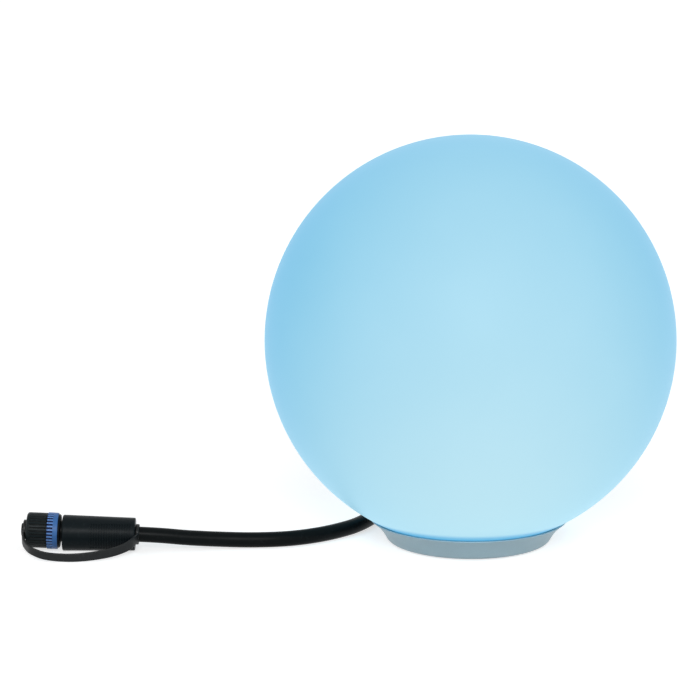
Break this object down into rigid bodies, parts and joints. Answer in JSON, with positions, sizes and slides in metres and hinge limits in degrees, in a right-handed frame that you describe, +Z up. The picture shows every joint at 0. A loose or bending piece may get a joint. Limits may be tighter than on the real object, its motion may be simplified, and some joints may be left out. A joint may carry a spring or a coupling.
{
  "type": "garden globe light",
  "caption": "Lit opal globe on a low dish-shaped base, with a short black lead to a sealed round plug with a coupling nut and a tethered screw cap.",
  "frame": {"origin": "on the ground, under the middle of the globe", "axes": "+Z up through the middle of the globe; the front is -Y; the lead comes out of the base at the back and runs off to -X"},
  "size_m": [0.3182, 0.2292, 0.2],
  "materials": {
    "opal_globe": "opal blow-moulded polyethylene, satin, lit pale blue from inside",
    "silver_grey_plastic": "fine satin silver-grey moulded plastic",
    "steel": "stainless",
    "black_rubber": "soft matt black rubber",
    "black_plastic": "moulded black nylon",
    "silicone": "silicone seal",
    "cast_aluminium": "as cast",
    "board_green": "solder resist",
    "board_white": "white solder resist on an aluminium core",
    "component_dark": "moulded",
    "terminal_grey": "moulded",
    "wire_sleeve": "insulated core",
    "led_yellow": "moulded package",
    "clear_dome": "clear polycarbonate",
    "lead_jacket": "smooth black rubber jacket",
    "contact_brass": "turned contact",
    "blue_plastic": "moulded blue nylon"
  },
  "bodies": {
    "root": {"globe_diffuser": "opal_globe", "base_shell": "silver_grey_plastic", "base_cover": "silver_grey_plastic", "cover_screws": "steel", "rubber_feet": "black_rubber", "vent_plug": "black_plastic", "globe_gasket": "silicone", "globe_screws": "steel", "heat_sink": "cast_aluminium", "heat_sink_seal": "silicone", "heat_sink_screws": "steel", "control_board": "board_green", "control_board_screws": "steel", "board_components": "component_dark", "terminal_block": "terminal_grey", "inner_wires": "wire_sleeve", "led_board": "board_white", "led_board_screws": "steel", "led_chips": "led_yellow", "inner_lens": "clear_dome", "lens_seal": "silicone", "cable_gland": "black_rubber", "lead_stub": "lead_jacket", "lead": "lead_jacket", "lead_tail": "lead_jacket", "plug_grip": "black_rubber", "plug_insert": "black_plastic", "contact_pins": "contact_brass", "nose_seal": "silicone", "tether_strap": "black_rubber"},
    "nut": {"coupling_nut": "black_plastic", "grip_ring": "blue_plastic"},
    "eye": {"strap_eye": "black_rubber"},
    "cap": {"dust_cap": "black_plastic", "cap_seal": "silicone", "cap_button": "black_plastic"}
  },
  "joints": [
    {"name": "coupling_nut_turn", "type": "hinge", "parent": "root", "child": "nut", "pos_m": [-0.20276, -0.0205, 0.00976], "axis": [-0.999, 0, 0.0436], "continuous": true},
    {"name": "cap_lift", "type": "slide", "parent": "root", "child": "eye", "axis": [-0.999, 0, 0.0436], "range_m": [0, 0.0032]},
    {"name": "cap_unscrew", "type": "hinge", "parent": "eye", "child": "cap", "pos_m": [-0.21075, -0.0205, 0.01011], "axis": [-0.999, 0, 0.0436], "range_deg": [0, 720]}
  ],
  "couplings": [
    {"joint": "cap_lift", "follows": "cap_unscrew", "m_per_rad": 0.00025465}
  ]
}
